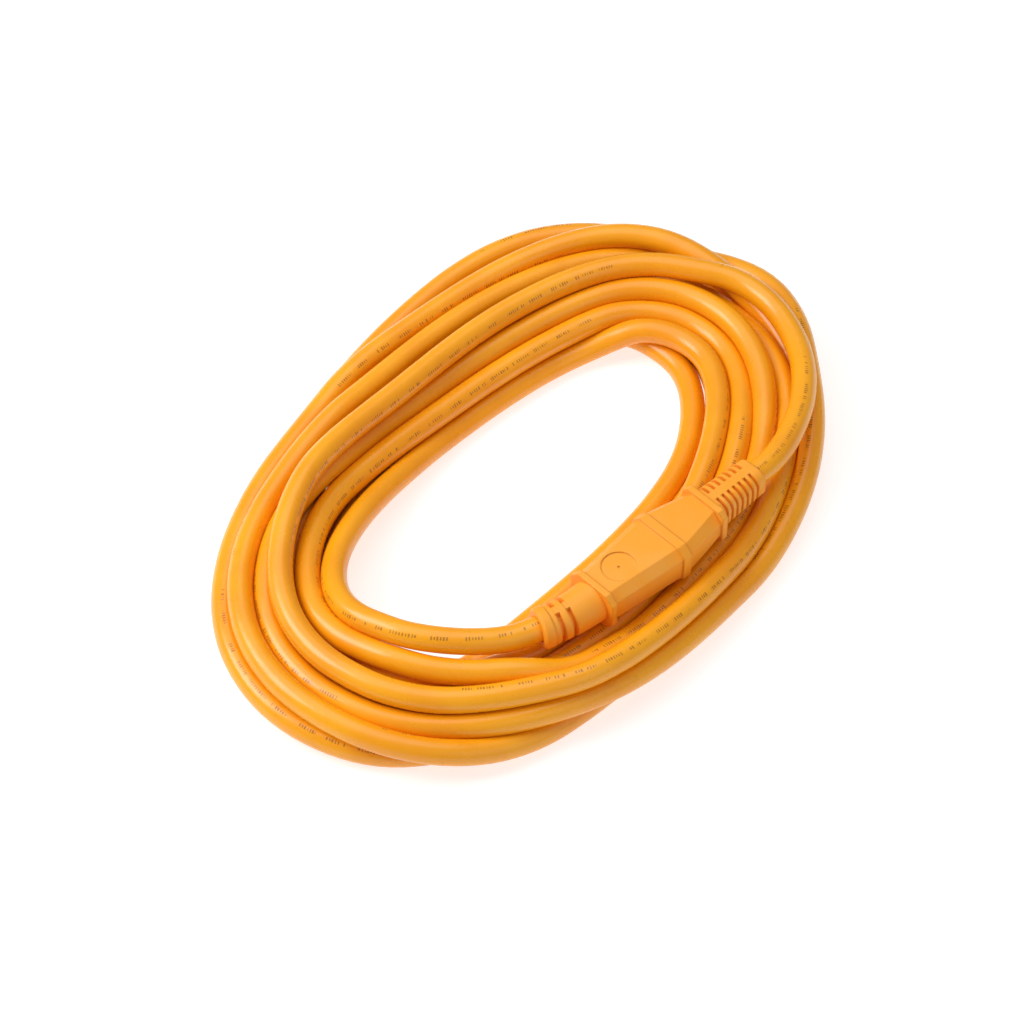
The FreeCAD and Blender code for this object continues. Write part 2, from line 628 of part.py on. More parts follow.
def make_plug_shell():
    """Soft outer moulding of the plug: nose, body with finger scoops and rear flange."""
    body = new_body("plug_shell")
    middle = "parting_gap + scoop_place * plug_body_length"
    sections = []
    for name, place, width, height, corner in (
            ("body_front", "parting_gap", "body_width", "body_height", "body_corner"),
            ("body_middle", middle, *(f"waist_{part} + scoop_keep * (body_{part} - waist_{part})"
                                      for part in ("width", "height", "corner"))),
            ("body_waist", "back_front", "waist_width", "waist_height", "waist_corner")):
        section = sketch_on(body, name, "YZ_Plane", place)
        bevelled(section, width, height, corner)
        sections.append(section)
    loft(body, sections)
    nose = sketch_on(body, "nose", "YZ_Plane", "plug_face")
    bevelled(nose, "nose_width", "nose_height", "nose_corner")
    pad(body, nose, "parting_gap - plug_face")
    back = sketch_on(body, "back", "YZ_Plane", "back_front")
    bevelled(back, "back_width", "back_height", "body_corner")
    pad(body, back, "flange_thick")

    seat = sketch_on(body, "bridge_seat", "YZ_Plane", "plug_face")
    rounded(seat, "bridge_width + 2 * seat_gap", "bridge_height + 2 * seat_gap", "block_round")
    pocket(body, seat, "bridge_rear - plug_face", backwards=True)
    chamber = sketch_on(body, "wire_chamber", "YZ_Plane", "bridge_rear")
    rounded(chamber, "bridge_width - 2 * chamber_wall", "chamber_height", "block_round")
    pocket(body, chamber, "plug_root - bridge_rear", backwards=True)
    hole = sketch_on(body, "boot_hole", "YZ_Plane", "plug_root")
    ring(hole, "0", "0", "root_dia + 2 * seat_gap")
    pocket(body, hole, "root_length", backwards=True)
    return body


def make_plug_boot():
    """Ribbed strain relief, its grooves bridged by a web along the top and underneath."""
    body = new_body("plug_boot")
    front = sketch_on(body, "boot_front", "YZ_Plane", "back_rear")
    rounded(front, "plug_boot_width", "plug_boot_height", "boot_round")
    tail = sketch_on(body, "boot_tail", "YZ_Plane", "plug_tail")
    rounded(tail, "plug_tail_width", "plug_tail_height", "boot_round")
    loft(body, [front, tail])
    root = sketch_on(body, "boot_root", "YZ_Plane", "plug_root")
    ring(root, "0", "0", "root_dia")
    pad(body, root, "root_length")
    groove = sketch_on(body, "groove", "YZ_Plane", "back_rear + rib_pitch - groove_width / 2")
    outline(groove, [(f"{across} * plug_boot_width", f"{up} * plug_boot_height")
                     for across, up in ((1, 1), (-1, 1), (-1, -1), (1, -1))])
    rounded(groove, "plug_tail_width - 2 * groove_depth", "plug_tail_height - 2 * groove_depth",
            "groove_round")
    cut = pocket(body, groove, "groove_width", backwards=True)
    repeat_along(body, cut, "rib_pitch", "rib_count")
    for name, side in (("top", 1), ("under", -1)):
        ends = []
        for end, place, tall in (("start", "back_rear", "plug_boot_height"),
                                 ("stop", "plug_tail", "plug_tail_height")):
            web = sketch_on(body, f"web_{name}_{end}", "YZ_Plane", place)
            low, high = f"{side} * ({tall} / 2 - 1.5 * groove_depth)", f"{side} * {tall} / 2"
            outline(web, [("rib_bridge / 2", low), ("rib_bridge / 2", high),
                          ("-rib_bridge / 2", high), ("-rib_bridge / 2", low)])
            ends.append(web)
        loft(body, ends)
    bore = sketch_on(body, "cord_bore", "YZ_Plane", "plug_root")
    ring(bore, "0", "0", "bore_dia")
    pocket(body, bore, "plug_tail - plug_root", backwards=True)
    return body


def make_plug_bridge():
    """Insulating block that holds the two blades at their spacing."""
    body = new_body("plug_bridge")
    block = sketch_on(body, "block", "YZ_Plane", "plug_face")
    rounded(block, "bridge_width", "bridge_height", "block_round")
    pad(body, block, "bridge_length")
    slots = sketch_on(body, "blade_slots", "YZ_Plane", "plug_face")
    tall = "(blade_height / 2 + seat_gap)"
    for side in (1, -1):
        near = f"{side} * (blade_place) - blade_thick / 2 - seat_gap"
        far = f"{side} * (blade_place) + blade_thick / 2 + seat_gap"
        outline(slots, [(far, tall), (near, tall), (near, f"-{tall}"), (far, f"-{tall}")])
    pocket(body, slots, "bridge_length", backwards=True)
    return body


def make_blade(label, side):
    """Flat brass blade with a bevelled tip, a round hole and a crimp barrel behind."""
    body = new_body(label)
    plane = f"-({side} * (blade_place) + blade_thick / 2)"
    flat = sketch_on(body, "flat", "XZ_Plane", plane)
    half, tip = "blade_height / 2", "(blade_height / 2 - blade_thick / 2)"
    outline(flat, [("blade_tip", tip), ("blade_tip", f"-{tip}"),
                   ("blade_tip + blade_thick", f"-{half}"), ("bridge_rear", f"-{half}"),
                   ("bridge_rear", half), ("blade_tip + blade_thick", half)])
    pad(body, flat, "blade_thick")
    hole = sketch_on(body, "hole", "XZ_Plane", plane)
    ring(hole, "plug_face - blade_hole_place", "0", "blade_hole")
    pocket(body, hole, "blade_thick", backwards=True)
    add_barrel(body, side, "bridge_rear", "barrel_length")
    return body


# ---- wires, made alike for both fittings ----

def bent_wire(label, side, size, bore, line):
    """A wire along a line in the blades' plane; bore is the hole through it, or None."""
    points = [Vector(size_of(along), side * size_of(across), 0) for along, across in line]
    solid = tube_along(points, size_of(size), size_of("wire_bend"))[0]
    if bore:
        solid = solid.cut(tube_along(points, size_of(bore), size_of("wire_bend"))[0])
    wire = doc.addObject("Part::Feature", label)
    wire.Label = label
    wire.Shape = solid
    place_in_pair(wire)
    return wire


def make_wires(fitting, barrel, jacket, tail, way):
    """Jacket end, insulated cores and copper of one fitting; way is +1 towards the plug."""
    sleeve = new_body(f"{fitting}_jacket_end")
    start = jacket if way > 0 else tail
    length = f"{way} * ({tail} - ({jacket}))"
    outer = sketch_on(sleeve, "outer", "YZ_Plane", start)
    ring(outer, "0", "0", "cord_dia")
    pad(sleeve, outer, length)
    holes = sketch_on(sleeve, "core_holes", "YZ_Plane", start)
    for side in (1, -1):
        ring(holes, f"{side} * (core_place + seat_gap)", "0", "core_dia")
    pocket(sleeve, holes, length, backwards=True)
    keep(sleeve)
    merge = f"{jacket} - {way} * lip_cover"
    place = "core_place + seat_gap"
    for colour, pole, side in (("black", "left", 1), ("white", "right", -1)):
        bend = f"{barrel} + {way} * wire_straight"
        keep(bent_wire(f"{fitting}_core_{colour}", side, "core_dia", "conductor_dia + 2 * seat_gap",
                       [(f"{barrel} + {way} * seat_gap", "blade_place"), (bend, "blade_place"),
                        (merge, place), (tail, place)]))
        keep(bent_wire(f"{fitting}_conductor_{pole}", side, "conductor_dia", None,
                       [(f"{barrel} - {way} * (barrel_length - seat_gap)", "blade_place"),
                        (bend, "blade_place"), (merge, place), (tail, place)]))


# ---- the whole object ----

keep(make_coil())
for lead in make_leads():
    keep(lead)
keep(make_connector_shell())
keep(make_connector_boot())
keep(make_contact_block())
keep(make_block_lid())
for pole, side in (("left", 1), ("right", -1)):
    keep(make_contact(f"connector_contact_{pole}", side))
make_wires("connector", "barrel_rear", "connector_jacket", "connector_tail", -1)
keep(make_plug_shell())
keep(make_plug_boot())
keep(make_plug_bridge())
for pole, side in (("left", 1), ("right", -1)):
    keep(make_blade(f"plug_blade_{pole}", side))
make_wires("plug", "barrel_end", "plug_jacket", "plug_tail", 1)
doc.recompute()

for thing in doc.Objects:
    if {"Invalid", "Error"} & set(thing.State):
        raise RuntimeError(f"{thing.Label} failed: {thing.State}")
os.makedirs("parts", exist_ok=True)
for piece in pieces:
    if piece.Shape.isNull() or not piece.Shape.isValid() or len(piece.Shape.Solids) != 1:
        raise RuntimeError(f"{piece.Label} isn't one good solid")
for piece in pieces:
    piece.Shape.exportStep(f"parts/{piece.Label}.step")
    box = piece.Shape.BoundBox
    print(f"{piece.Label}: {piece.Shape.Volume:.1f} mm3,"
          f" x {box.XMin:.1f} to {box.XMax:.1f}, y {box.YMin:.1f} to {box.YMax:.1f},"
          f" z {box.ZMin:.1f} to {box.ZMax:.1f}")
print(f"{len(pieces)} pieces")
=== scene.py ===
# Orange outdoor power cord wound into an oval coil, its plug pushed into its own connector.
import json
import math
import bpy
import numpy as np
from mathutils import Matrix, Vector


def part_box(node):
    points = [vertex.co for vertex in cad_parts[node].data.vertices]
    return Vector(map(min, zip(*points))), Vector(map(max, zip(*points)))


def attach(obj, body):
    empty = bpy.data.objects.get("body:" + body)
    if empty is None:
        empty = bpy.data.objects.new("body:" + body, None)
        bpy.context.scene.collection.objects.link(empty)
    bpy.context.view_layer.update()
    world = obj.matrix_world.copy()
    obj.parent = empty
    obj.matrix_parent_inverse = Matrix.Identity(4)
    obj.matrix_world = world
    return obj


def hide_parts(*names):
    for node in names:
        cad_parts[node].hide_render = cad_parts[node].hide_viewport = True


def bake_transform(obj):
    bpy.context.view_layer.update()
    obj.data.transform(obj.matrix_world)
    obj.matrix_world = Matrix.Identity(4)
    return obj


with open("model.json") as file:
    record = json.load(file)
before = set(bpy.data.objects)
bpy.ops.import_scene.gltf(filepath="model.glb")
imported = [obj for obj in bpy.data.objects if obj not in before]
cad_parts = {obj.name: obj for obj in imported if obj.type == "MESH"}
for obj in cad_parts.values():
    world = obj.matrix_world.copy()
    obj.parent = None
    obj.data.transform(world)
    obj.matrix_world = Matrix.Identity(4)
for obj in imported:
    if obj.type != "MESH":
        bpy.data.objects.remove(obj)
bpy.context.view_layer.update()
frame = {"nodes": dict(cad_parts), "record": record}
mm = 0.001

camera = {
    "from": (-0.603, -0.403, 0.873),
    "at": (-0.006, 0, 0.015),
    "lens": 106.7,
    "shift": (-0.006, -0.0186),
}


def placeCamera(c):
    eye = bpy.data.objects.new("eye", bpy.data.cameras.new("eye"))
    eye.location = c["from"]
    eye.rotation_mode = "QUATERNION"
    eye.rotation_quaternion = (Vector(c["at"]) - Vector(c["from"])).to_track_quat("-Z", "Y")
    eye.data.lens = c["lens"]
    eye.data.shift_x, eye.data.shift_y = c["shift"]
    bpy.context.collection.objects.link(eye)
    bpy.context.scene.camera = eye


placeCamera(camera)
bpy.context.scene.view_settings.view_transform = "Standard"
print("camera placed")


# Shader sockets as values: an expression on them adds its Math nodes
class Val:
    def __init__(self, finish, out):
        self.finish, self.out = finish, out

    def math(self, how, other=None, first=None):
        ins = {0: self} if other is None else {0: self, 1: other}
        if first is not None:
            ins = {0: first, 1: self}
        return self.finish.node("ShaderNodeMath", {"operation": how}, ins)

    def __add__(self, other):
        return self.math("ADD", other)

    def __sub__(self, other):
        return self.math("SUBTRACT", other)

    def __rsub__(self, other):
        return self.math("SUBTRACT", first=other)

    def __mul__(self, other):
        return self.math("MULTIPLY", other)

    def __truediv__(self, other):
        return self.math("DIVIDE", other)

    def __rtruediv__(self, other):
        return self.math("DIVIDE", first=other)

    def __lt__(self, other):
        return self.math("LESS_THAN", other)

    def __gt__(self, other):
        return self.math("GREATER_THAN", other)

    __radd__, __rmul__ = __add__, __mul__

    def frac(self):
        return self.math("FRACT")

    def whole(self):
        return self.math("FLOOR")

    def away(self):
        return self.math("ABSOLUTE")

    def ramp(self, low, high):
        # 0 below low, 1 above high
        return self.finish.node("ShaderNodeMapRange", {"interpolation_type": "SMOOTHSTEP"},
                                {"Value": self, "From Min": low, "From Max": high})


# A material under construction
class Finish:
    def __init__(self, name):
        self.material = bpy.data.materials.new(name)
        self.material.use_nodes = True
        self.nodes = self.material.node_tree.nodes
        self.links = self.material.node_tree.links
        self.shader = self.nodes["Principled BSDF"]

    def node(self, kind, settings=None, inputs=None, output=0):
        made = self.nodes.new(kind)
        for key, value in (settings or {}).items():
            setattr(made, key, value)
        for key, value in (inputs or {}).items():
            self.feed(made.inputs[key], value)
        return Val(self, made.outputs[output])

    def feed(self, socket, value):
        if isinstance(value, Val):
            self.links.new(value.out, socket)
        elif isinstance(value, tuple) and len(value) == 3 and socket.type == "RGBA":
            socket.default_value = (*value, 1)
        else:
            socket.default_value = value

    def set(self, **values):
        for key, value in values.items():
            self.feed(self.shader.inputs[key.replace("_", " ")], value)

    def place(self):
        return self.node("ShaderNodeTexCoord", output="Object")

    def blend(self, factor, low, high):
        # sockets 0, 6 and 7 are the factor and the two colours, and output 2 is their mix
        return self.node("ShaderNodeMix", {"data_type": "RGBA"},
                         {0: factor, 6: low, 7: high}, output=2)

    def noise(self, where, scale, detail=2.0, rough=0.5):
        return self.node("ShaderNodeTexNoise", {},
                         {"Vector": where, "Scale": scale, "Detail": detail, "Roughness": rough})

    def bump(self, height, depth, strength=1.0, normal=None):
        ins = {"Height": height, "Distance": depth, "Strength": strength}
        if normal is not None:
            ins["Normal"] = normal
        return self.node("ShaderNodeBump", {}, ins)

    def softEdge(self, radius):
        return self.node("ShaderNodeBevel", {"samples": 6}, {"Radius": radius})


jacket = {
    "body": (0.95, 0.39, 0.006),
    "deep": (0.9, 0.33, 0.004),
    "roughness": 0.3,
    "roughnessSpread": 0.1,
    "specular": 0.45,
    "coat": 0.15,
    "coatRoughness": 0.2,
    "grainDepth": 0.02 * mm,
    "rippleDepth": 0.5 * mm,
}


def jacketFinish(name, printed=True):
    j = jacket
    f = Finish(name)
    where = f.place()
    cloud = f.noise(where, 35, 3).ramp(0.35, 0.7)
    colour = f.blend(cloud, j["body"], j["deep"])
    spread = j["roughnessSpread"]
    rough = f.noise(where, 90, 4).ramp(0.3, 0.75) * spread + (j["roughness"] - spread / 2)
    ripple = f.noise(where, 60, 2)
    grain = f.noise(where, 2600, 2)
    if printed:
        colour = f.blend(printMask(f, printing) * printing["strength"], colour, printing["ink"])
    f.set(Base_Color=colour, Roughness=rough, Specular_IOR_Level=j["specular"],
          Coat_Weight=j["coat"], Coat_Roughness=j["coatRoughness"])
    f.set(Normal=f.bump(grain, j["grainDepth"], 0.5, f.bump(ripple, j["rippleDepth"], 0.35)))
    return f.material


# The print: upright ticks of uneven width and height in uneven words, which look like fine print
# from afar and say nothing. A pair of values is the least and what chance adds to it.
printing = {
    "ink": (0.26, 0.09, 0.014),
    "strength": 0.72,
    "tickPitch": 1.05 * mm,
    "tickWidth": (0.25, 0.4),      # shares of the pitch
    "tickHeight": (0.65, 0.35),    # shares of the half height
    "ticksLeftOut": 0.12,          # share of all ticks
    "wordPitch": 11 * mm,
    "wordLength": (0.5, 0.35),     # shares of the pitch
    "length": 0.2,
    "repeat": 0.3,
    "halfHeight": 0.024,           # as a share of the way round
    "driftPace": 1.7,
    "driftReach": 1.5,
    "driftBase": 0.52,
}


def runAndRound(f):
    uv = f.node("ShaderNodeUVMap", {"uv_map": "run"})
    outputs = f.node("ShaderNodeSeparateXYZ", {}, {0: uv}).out.node.outputs
    return Val(f, outputs[0]), Val(f, outputs[1])


def chance(f, cell, seed):
    return f.node("ShaderNodeTexWhiteNoise", {"noise_dimensions": "2D"},
                  {"Vector": f.node("ShaderNodeCombineXYZ", {}, {0: cell, 1: seed})})


def uneven(f, cell, seed, least, more):
    return chance(f, cell, seed) * more + least


def printMask(f, p):
    along, aroundShare = runAndRound(f)
    tickRun = along / p["tickPitch"]
    wordRun = along / p["wordPitch"]
    cell = tickRun.whole()
    width = uneven(f, cell, 1.5, *p["tickWidth"])
    tick = (tickRun.frac() < width) * (chance(f, cell, 3.5) > p["ticksLeftOut"])
    word = wordRun.frac() < uneven(f, wordRun.whole(), 7.5, *p["wordLength"])
    stretch = (along / p["repeat"]).frac() < p["length"] / p["repeat"]
    drift = f.node("ShaderNodeTexNoise", {"noise_dimensions": "1D"},
                   {"W": along * p["driftPace"], "Scale": 1.0, "Detail": 0.0})
    middle = drift * p["driftReach"] - p["driftBase"]
    halfHeight = uneven(f, cell, 9.5, *p["tickHeight"]) * p["halfHeight"]
    return tick * word * stretch * ((aroundShare - middle).away() < halfHeight)


fitting = {
    "body": (0.99, 0.37, 0.018),
    "worn": (0.98, 0.39, 0.04),
    "roughness": 0.5,
    "roughnessSpread": 0.14,
    "specular": 0.4,
    "edge": 0.9 * mm,
    "grainDepth": 0.05 * mm,
    "waveDepth": 0.35 * mm,
}


def fittingFinish(name):
    g = fitting
    f = Finish(name)
    where = f.place()
    cloud = f.noise(where, 70, 3).ramp(0.35, 0.7)
    speck = f.noise(where, 900, 3, 0.7).ramp(0.66, 0.8)
    colour = f.blend(speck * 0.35, f.blend(cloud, g["body"], g["worn"]), g["worn"])
    spread = g["roughnessSpread"]
    rough = f.noise(where, 160, 3).ramp(0.3, 0.7) * spread + (g["roughness"] - spread / 2)
    grain = f.noise(where, 1500, 3, 0.6)
    wave = f.noise(where, 120, 2)
    relief = f.bump(wave, g["waveDepth"], 0.3, f.softEdge(g["edge"]))
    f.set(Base_Color=colour, Roughness=rough, Specular_IOR_Level=g["specular"])
    f.set(Normal=f.bump(grain, g["grainDepth"], 0.5, relief))
    return f.material


def mouldedFinish(name, colour, roughness, grainDepth):
    f = Finish(name)
    where = f.place()
    cloud = f.noise(where, 220, 3).ramp(0.35, 0.7)
    light = tuple(min(1, c * 1.5 + 0.004) for c in colour)
    f.set(Base_Color=f.blend(cloud, colour, light),
          Roughness=f.noise(where, 320, 3) * 0.2 + (roughness - 0.1))
    f.set(Normal=f.bump(f.noise(where, 2400, 3), grainDepth, 0.6, f.softEdge(0.3 * mm)))
    return f.material


def metalFinish(name, colour, roughness, strands=False):
    f = Finish(name)
    where = f.place()
    streak = f.noise(where, 500, 4, 0.7).ramp(0.3, 0.75)
    dull = tuple(c * 0.62 for c in colour)
    f.set(Base_Color=f.blend(streak * 0.6, colour, dull), Metallic=1.0,
          Roughness=streak * 0.2 + roughness)
    height = f.noise(where, 1400, 3)
    if strands:
        height = f.node("ShaderNodeTexWave", {"bands_direction": "DIAGONAL"},
                        {"Vector": where, "Scale": 900, "Distortion": 0.4})
    f.set(Normal=f.bump(height, 0.06 * mm, 0.5, f.softEdge(0.2 * mm)))
    return f.material


finishes = {
    "jacket_orange": jacketFinish("jacket_print"),
    "jacket_plain": jacketFinish("jacket_plain", printed=False),
    "fitting_orange": fittingFinish("fitting_orange_vinyl"),
    "block_black": mouldedFinish("block_black_plastic", (0.02, 0.02, 0.02), 0.45, 0.03 * mm),
    "brass_contact": metalFinish("brass_sheet", (0.8, 0.58, 0.25), 0.26),
    "copper": metalFinish("copper_strands", (0.85, 0.42, 0.24), 0.3, strands=True),
    "core_black": mouldedFinish("core_black_vinyl", (0.018, 0.018, 0.018), 0.35, 0.015 * mm),
    "core_white": mouldedFinish("core_white_vinyl", (0.62, 0.61, 0.58), 0.35, 0.015 * mm),
}
print("materials made")


# A lane that is given as the camera sees it, against a level plane at the coil's seenHeight
def seen(reach, height):
    return reach, height, True


# The coil. A lane is a distance outward from the mean oval and a height, in millimetres, given for
# each turn at twelve places round it, clockwise from the end away from the plug.
coil = {
    "cord": 9.6,
    "halfLong": 113.5,
    "halfShort": 65.5,
    "squareness": 2.25,
    "ovalSteps": 2880,
    "stations": 36,
    "keys": 12,
    "seenHeight": 22,
    "rounds": 400,
    "sink": 0.06,
    "pull": (0.16, 0.06),      # back to the lane, outward and in height
    "smoothing": 0.35,
    "passes": 3,
    "pushShare": 0.45,
    "pushGain": 1.3,
    "besideShare": 0.5,
    "turns": [
        [seen(-23.7, 27), seen(-15.5, 22), seen(-20.8, 12), seen(-29, 4.8), seen(-37, 4.8),
         seen(-38.5, 4.8), seen(-26.6, 13), seen(-12.4, 12.8), seen(-7.6, 12.8), (-10, 12.8),
         (-10, 12.8), (-12, 12.8)],
        [(-14, 12.5), (-12, 12), (-13, 4.8), (-11.5, 4.8), (-16, 4.8), (-15.5, 4.8),
         seen(-34, 4.8), seen(-25, 4.8), seen(-16, 4.8), seen(-17.5, 4.8), seen(-19, 4.8), (-22, 4.8)],
        [(-9, 4.8), (-8, 4.8), (-3, 4.8), (-1.5, 4.8), (-6, 4.8), (-5.5, 4.8),
         (-12, 4.8), (-13.5, 4.8), (-11.5, 4.8), (-14.5, 4.8), (-18, 4.8), (-12, 4.8)],
        [(1, 4.8), (2, 4.8), (7, 4.8), (8, 4.8), (4, 4.8), (4.5, 4.8),
         (-1.5, 4.8), (-3.5, 4.8), (-2, 4.8), (-5, 4.8), (-7.5, 4.8), (-2, 4.8)],
        [(10, 4.8), (12, 4.8), (17, 5), seen(18, 6), seen(20.5, 12), seen(30.5, 18),
         (21, 12), (8, 5), (7.5, 4.8), (5, 4.8), (3, 4.8), (8, 4.8)],
        [seen(26, 13), seen(24.5, 12), seen(18, 13), seen(13.6, 14), seen(11.8, 16), seen(15, 19),
         (18.5, 19), (15, 6), (17, 4.8), (14.5, 4.8), (12.7, 4.8), (15, 6)],
        [seen(18, 17), seen(17.5, 18), seen(12, 19), seen(5.8, 19), seen(4.2, 19), seen(5, 19),
         seen(18, 18), (17, 16.5), (21, 13), (19.5, 10.5), (18, 10.5), (9.5, 13)],
        [seen(9.3, 15), seen(9, 15), (3, 17), seen(-12, 15), seen(-17.4, 16), seen(-17.4, 16),
         seen(-7.4, 17), seen(1.3, 16), (9, 12.8), (7.5, 13), (6.5, 20), seen(-8, 20)],
        [seen(-13.5, 18), seen(-5.8, 18), seen(-6.2, 17), seen(-19.5, 13), seen(-28.7, 12.5),
         seen(-28.7, 12.5), (-8, 13), (-4, 12.8), seen(0.5, 12.8), (0, 12.8), (-2, 12.8), (-3, 12)],
        [(-3, 12), (0, 12), (4, 11), (12, 12), (13, 6), (14, 4.8),
         seen(0.5, 12), seen(10.5, 15), (16, 14), (16, 16), seen(18, 17), seen(5.5, 19)],
        [seen(-1.5, 21), seen(2.6, 23), seen(4.7, 25), seen(-5.3, 24), seen(-5.8, 24), seen(-4.5, 23),
         seen(9.7, 25)],
    ],
}
# The plug and the connector that it is in, in millimetres; reaches run from the connector's mouth
pair = {
    "mouth": (-4, -62.5, 26.5),
    "turn": math.radians(-12),
    "connectorTail": -60.6,
    "flangeRear": -37.6,
    "bootLength": 23,
    "bootBend": math.radians(20),
    "plugTail": 45.5,
    "under": 17.6,                                # lowest height of the fittings
    "rooms": [(-62, -38, 9), (-38, 76, 13.2)],    # start, end and half width of what lies on the coil
}
pairWay = np.array([math.cos(pair["turn"]), math.sin(pair["turn"]), 0])
pairSide = np.array([-pairWay[1], pairWay[0], 0])


def onPair(reach, aside=0, up=0):
    return np.array(pair["mouth"]) + reach * pairWay + aside * pairSide + np.array([0, 0, up])


def meanOval(c):
    turn = np.linspace(0, 2 * math.pi, c["ovalSteps"] + 1)
    x = -c["halfLong"] * np.sign(np.cos(turn)) * np.abs(np.cos(turn)) ** (2 / c["squareness"])
    y = c["halfShort"] * np.sign(np.sin(turn)) * np.abs(np.sin(turn)) ** (2 / c["squareness"])
    run = np.concatenate([[0], np.cumsum(np.hypot(np.diff(x), np.diff(y)))])
    at = np.linspace(0, run[-1], c["stations"], endpoint=False)
    line = np.stack([np.interp(at, run, x), np.interp(at, run, y)], 1)
    along = np.roll(line, -1, 0) - np.roll(line, 1, 0)
    along /= np.linalg.norm(along, axis=1)[:, None]
    return line, np.stack([-along[:, 1], along[:, 0]], 1)


def eased(keys, per):
    # a smooth curve through the keys, per points from one key to the next
    keys = np.array(keys, float)
    t = np.arange((len(keys) - 1) * per + 1) / per
    k = np.minimum(t.astype(int), len(keys) - 2)
    f = (t - k)[:, None]
    slope = np.gradient(keys, axis=0)
    return (keys[k] * (1 + 2 * f) * (1 - f) ** 2 + keys[k + 1] * f * f * (3 - 2 * f)
            + slope[k] * f * (1 - f) ** 2 - slope[k + 1] * f * f * (1 - f))


def trueLanes(c, out):
    # a seen lane is moved along the camera's line of sight, from the level plane to its own height
    sight = np.array(camera["at"]) - np.array(camera["from"])
    perKey = c["stations"] // c["keys"]
    lanes = []
    for place, lane in enumerate(lane for turn in c["turns"] for lane in turn):
        reach, height = lane[:2]
        if len(lane) == 3:
            lean = out[place % c["keys"] * perKey] @ sight[:2] / -sight[2]
            reach += lean * (c["seenHeight"] - height)
        lanes.append((reach, height))
    return lanes


def settleTurns(c):
    # the turns push each other apart, sink and stay off the floor and out from under the fittings
    line, out = meanOval(c)
    lanes = eased(trueLanes(c, out), c["stations"] // c["keys"])
    node = np.arange(len(lanes))
    station, turn = node % c["stations"], node // c["stations"]
    seat = np.full((c["stations"], turn.max() + 1), -1)
    seat[station, turn] = node
    first, second = np.triu_indices(turn.max() + 1, 1)
    a, b = seat[:, first].ravel(), seat[:, second].ravel()
    both = (a >= 0) & (b >= 0)
    a, b = a[both], b[both]
    spot = lanes.copy()
    for step in range(c["rounds"]):
        spot[:, 1] -= c["sink"]
        spot += (lanes - spot) * c["pull"]
        spot[1:-1] += ((spot[:-2] + spot[2:]) / 2 - spot[1:-1]) * c["smoothing"]
        for again in range(c["passes"]):
            pushApart(spot, a, b, c)
            clearPair(spot, line[station], out[station], c)
            spot[:, 1] = np.maximum(spot[:, 1], c["cord"] / 2)
    flat = line[station] + out[station] * spot[:, :1]
    return np.concatenate([flat, spot[:, 1:]], 1)


def pushApart(spot, a, b, c):
    gap = spot[b] - spot[a]
    far = np.hypot(gap[:, 0], gap[:, 1])
    push = np.clip(c["cord"] - far, 0, None) * c["pushShare"]
    step = gap / np.maximum(far, 0.001)[:, None] * push[:, None]
    move, count = np.zeros_like(spot), np.zeros(len(spot))
    np.add.at(move, a, -step)
    np.add.at(move, b, step)
    np.add.at(count, a, push > 0)
    np.add.at(count, b, push > 0)
    spot += move / np.maximum(count, 1)[:, None] * c["pushGain"]


def clearPair(spot, line, out, c):
    # a cord under the fittings keeps below them, and one beside them is moved away
    half = c["cord"] / 2
    low = pair["under"] - half
    side = pairSide[:2]
    rel = line + out * spot[:, :1] - np.array(pair["mouth"][:2])
    along, across = rel @ pairWay[:2], rel @ side
    for start, end, wide in pair["rooms"]:
        deep = wide + half - np.abs(across)
        inside = (along > start) & (along < end) & (deep > 0) & (spot[:, 1] > low)
        under = inside & (spot[:, 1] - low <= deep)
        beside = inside & ~under
        spot[under, 1] = low
        spot[beside, 0] += (np.sign(across) * deep * np.sign(out @ side))[beside] * c["besideShare"]


def nurbsLine(name, points):
    data = bpy.data.curves.new(name, "CURVE")
    data.dimensions = "3D"
    spline = data.splines.new("NURBS")
    spline.points.add(len(points) - 1)
    for spot, point in zip(spline.points, points):
        spot.co = (*(float(v) for v in point), 1)
    spline.order_u = 3
    spline.use_endpoint_u = True
    data.resolution_u = leads["resolution"]
    guide = bpy.data.objects.new(name, data)
    mesh = bpy.data.meshes.new_from_object(guide)
    line = np.array([v.co for v in mesh.vertices])
    bpy.data.objects.remove(guide)
    bpy.data.meshes.remove(mesh)
    return line


